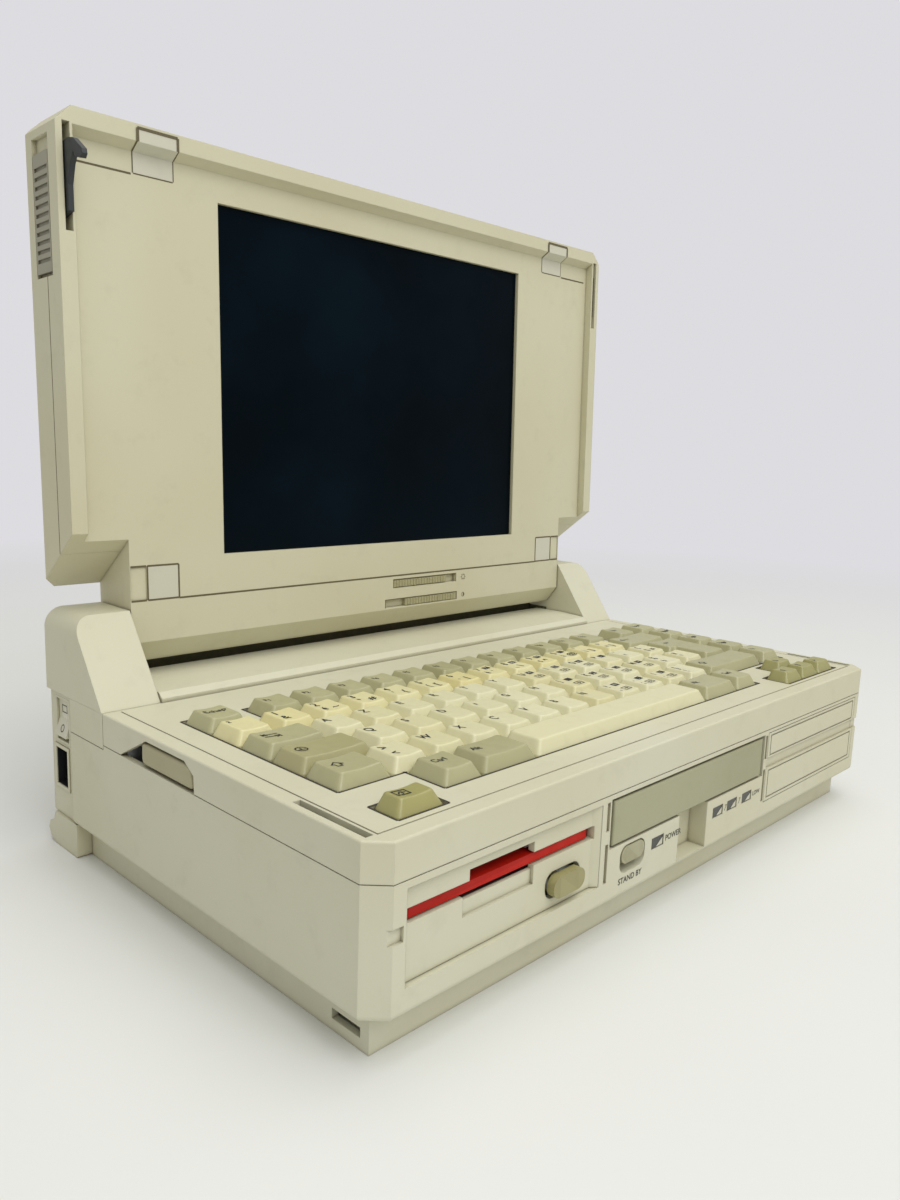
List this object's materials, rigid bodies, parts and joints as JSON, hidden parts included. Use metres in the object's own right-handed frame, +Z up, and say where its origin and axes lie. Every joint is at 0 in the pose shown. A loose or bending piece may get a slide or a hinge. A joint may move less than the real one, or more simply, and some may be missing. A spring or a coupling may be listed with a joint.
{
  "type": "laptop",
  "caption": "Late-1980s clamshell portable computer, lid open: lift-off keyboard, diskette drive, pull-out handle, thick display lid on two hinge shoulders.",
  "frame": {"origin": "on the table, under the middle of the whole object's bounding box", "axes": "+X the user's right, +Y the back, +Z up"},
  "size_m": [0.343, 0.2236, 0.3],
  "materials": {
    "base_white": "fine textured, warm grey-white",
    "lid_cream": "fine textured, yellowed cream",
    "key_cream": "matt",
    "key_grey": "matt",
    "key_olive": "matt",
    "screen": "unlit display, anti-glare",
    "dark_plastic": "charcoal",
    "disk_red": "satin",
    "sheet_steel": "plated sheet",
    "board_green": "coated board",
    "rubber": "matt",
    "lamp": "clear lens, unlit"
  },
  "bodies": {
    "base": {"bottom_housing": "base_white", "rear_panel": "base_white", "rear_deck": "base_white", "left_hinge_cover": "base_white", "right_hinge_cover": "base_white", "floppy_bezel": "base_white", "floppy_drive": "sheet_steel", "bay_cover": "base_white", "led_windows": "lamp", "switch_frame": "dark_plastic", "power_inlet": "dark_plastic", "port_connectors": "sheet_steel", "rear_feet": "base_white", "rubber_feet": "rubber", "drive_tray": "sheet_steel", "main_board": "board_green", "hard_drive": "sheet_steel", "battery_pack": "dark_plastic", "power_supply": "sheet_steel", "speaker": "dark_plastic", "hinge_brackets": "sheet_steel", "housing_screws": "sheet_steel", "handle_guides": "base_white"},
    "lid": {"lid_rear_cover": "lid_cream", "lid_bezel": "lid_cream", "lcd_panel": "screen", "inverter_board": "board_green", "screw_covers": "lid_cream", "lid_screws": "sheet_steel", "hinge_pins": "sheet_steel"},
    "keyboard": {"keyboard_housing": "base_white", "keyboard_tray": "sheet_steel", "key_plate": "sheet_steel"},
    "left_release": {"left_release_button": "key_grey"},
    "right_release": {"right_release_button": "key_grey"},
    "left_latch": {"left_latch_slide": "lid_cream", "left_latch_hook": "dark_plastic"},
    "right_latch": {"right_latch_slide": "lid_cream", "right_latch_hook": "dark_plastic"},
    "brightness": {"brightness_slider": "lid_cream"},
    "contrast": {"contrast_slider": "lid_cream"},
    "eject": {"eject_button": "key_olive"},
    "standby": {"standby_button": "key_grey"},
    "rocker": {"power_rocker": "dark_plastic"},
    "handle": {"carry_handle": "key_olive"},
    "disk": {"diskette": "disk_red"},
    "function_keys_group": {"function_keys": "key_grey"},
    "number_keys_group": {"number_keys": "key_cream"},
    "upper_letter_keys_group": {"upper_letter_keys": "key_cream"},
    "home_letter_keys_group": {"home_letter_keys": "key_cream"},
    "lower_letter_keys_group": {"lower_letter_keys": "key_cream"},
    "space_bar_group": {"space_bar": "key_cream"},
    "shift_keys_group": {"shift_keys": "key_grey"},
    "enter_key_group": {"enter_key": "key_grey"},
    "backspace_key_group": {"backspace_key": "key_grey"},
    "tab_caps_keys_group": {"tab_caps_keys": "key_grey"},
    "bottom_modifier_keys_group": {"bottom_modifier_keys": "key_grey"},
    "navigation_keys_group": {"navigation_keys": "key_grey"},
    "cursor_keys_group": {"cursor_keys": "key_olive"},
    "fn_key_group": {"fn_key": "key_olive"}
  },
  "joints": [
    {"name": "lid_hinge", "type": "hinge", "parent": "base", "child": "lid", "pos_m": [0, 0.0959, 0.093], "axis": [1, 0, 0], "range_deg": [-20, 91.4]},
    {"name": "keyboard_lift", "type": "slide", "parent": "base", "child": "keyboard", "axis": [0, 0, -1], "range_m": [-0.06, 0]},
    {"name": "left_release", "type": "slide", "parent": "keyboard", "child": "left_release", "axis": [1, 0, 0], "range_m": [0, 0.003], "stiffness_N_per_m": 300},
    {"name": "right_release", "type": "slide", "parent": "keyboard", "child": "right_release", "axis": [-1, 0, 0], "range_m": [0, 0.003], "stiffness_N_per_m": 300},
    {"name": "left_latch", "type": "slide", "parent": "lid", "child": "left_latch", "axis": [0, 0.0244, 0.9997], "range_m": [0, 0.0045], "stiffness_N_per_m": 300, "springref_m": -0.001},
    {"name": "right_latch", "type": "slide", "parent": "lid", "child": "right_latch", "axis": [0, 0.0244, 0.9997], "range_m": [0, 0.0045], "stiffness_N_per_m": 300, "springref_m": -0.001},
    {"name": "brightness_slide", "type": "slide", "parent": "lid", "child": "brightness", "axis": [1, 0, 0], "range_m": [0, 0.0075]},
    {"name": "contrast_slide", "type": "slide", "parent": "lid", "child": "contrast", "axis": [1, 0, 0], "range_m": [-0.014, 0]},
    {"name": "eject_press", "type": "slide", "parent": "base", "child": "eject", "axis": [0, 1, 0], "range_m": [0, 0.004], "stiffness_N_per_m": 300},
    {"name": "standby_press", "type": "slide", "parent": "base", "child": "standby", "axis": [0, 1, 0], "range_m": [0, 0.0025], "stiffness_N_per_m": 300},
    {"name": "rocker_tilt", "type": "hinge", "parent": "base", "child": "rocker", "pos_m": [-0.164, 0.0937, 0.0578], "axis": [0, 1, 0], "range_deg": [-16, 0]},
    {"name": "handle_pull", "type": "slide", "parent": "base", "child": "handle", "axis": [0, -1, 0], "range_m": [0, 0.038]},
    {"name": "diskette_out", "type": "slide", "parent": "base", "child": "disk", "axis": [0, -1, 0], "range_m": [0, 0.08]},
    {"name": "function_keys_press", "type": "slide", "parent": "keyboard", "child": "function_keys_group", "axis": [0, 0, -1], "range_m": [0, 0.003], "stiffness_N_per_m": 400},
    {"name": "number_keys_press", "type": "slide", "parent": "keyboard", "child": "number_keys_group", "axis": [0, 0, -1], "range_m": [0, 0.003], "stiffness_N_per_m": 400},
    {"name": "upper_letter_keys_press", "type": "slide", "parent": "keyboard", "child": "upper_letter_keys_group", "axis": [0, 0, -1], "range_m": [0, 0.003], "stiffness_N_per_m": 400},
    {"name": "home_letter_keys_press", "type": "slide", "parent": "keyboard", "child": "home_letter_keys_group", "axis": [0, 0, -1], "range_m": [0, 0.003], "stiffness_N_per_m": 400},
    {"name": "lower_letter_keys_press", "type": "slide", "parent": "keyboard", "child": "lower_letter_keys_group", "axis": [0, 0, -1], "range_m": [0, 0.003], "stiffness_N_per_m": 400},
    {"name": "space_bar_press", "type": "slide", "parent": "keyboard", "child": "space_bar_group", "axis": [0, 0, -1], "range_m": [0, 0.003], "stiffness_N_per_m": 400},
    {"name": "shift_keys_press", "type": "slide", "parent": "keyboard", "child": "shift_keys_group", "axis": [0, 0, -1], "range_m": [0, 0.003], "stiffness_N_per_m": 400},
    {"name": "enter_key_press", "type": "slide", "parent": "keyboard", "child": "enter_key_group", "axis": [0, 0, -1], "range_m": [0, 0.003], "stiffness_N_per_m": 400},
    {"name": "backspace_key_press", "type": "slide", "parent": "keyboard", "child": "backspace_key_group", "axis": [0, 0, -1], "range_m": [0, 0.003], "stiffness_N_per_m": 400},
    {"name": "tab_caps_keys_press", "type": "slide", "parent": "keyboard", "child": "tab_caps_keys_group", "axis": [0, 0, -1], "range_m": [0, 0.003], "stiffness_N_per_m": 400},
    {"name": "bottom_modifier_keys_press", "type": "slide", "parent": "keyboard", "child": "bottom_modifier_keys_group", "axis": [0, 0, -1], "range_m": [0, 0.003], "stiffness_N_per_m": 400},
    {"name": "navigation_keys_press", "type": "slide", "parent": "keyboard", "child": "navigation_keys_group", "axis": [0, 0, -1], "range_m": [0, 0.003], "stiffness_N_per_m": 400},
    {"name": "cursor_keys_press", "type": "slide", "parent": "keyboard", "child": "cursor_keys_group", "axis": [0, 0, -1], "range_m": [0, 0.003], "stiffness_N_per_m": 400},
    {"name": "fn_key_press", "type": "slide", "parent": "keyboard", "child": "fn_key_group", "axis": [0, 0, -1], "range_m": [0, 0.003], "stiffness_N_per_m": 400}
  ]
}
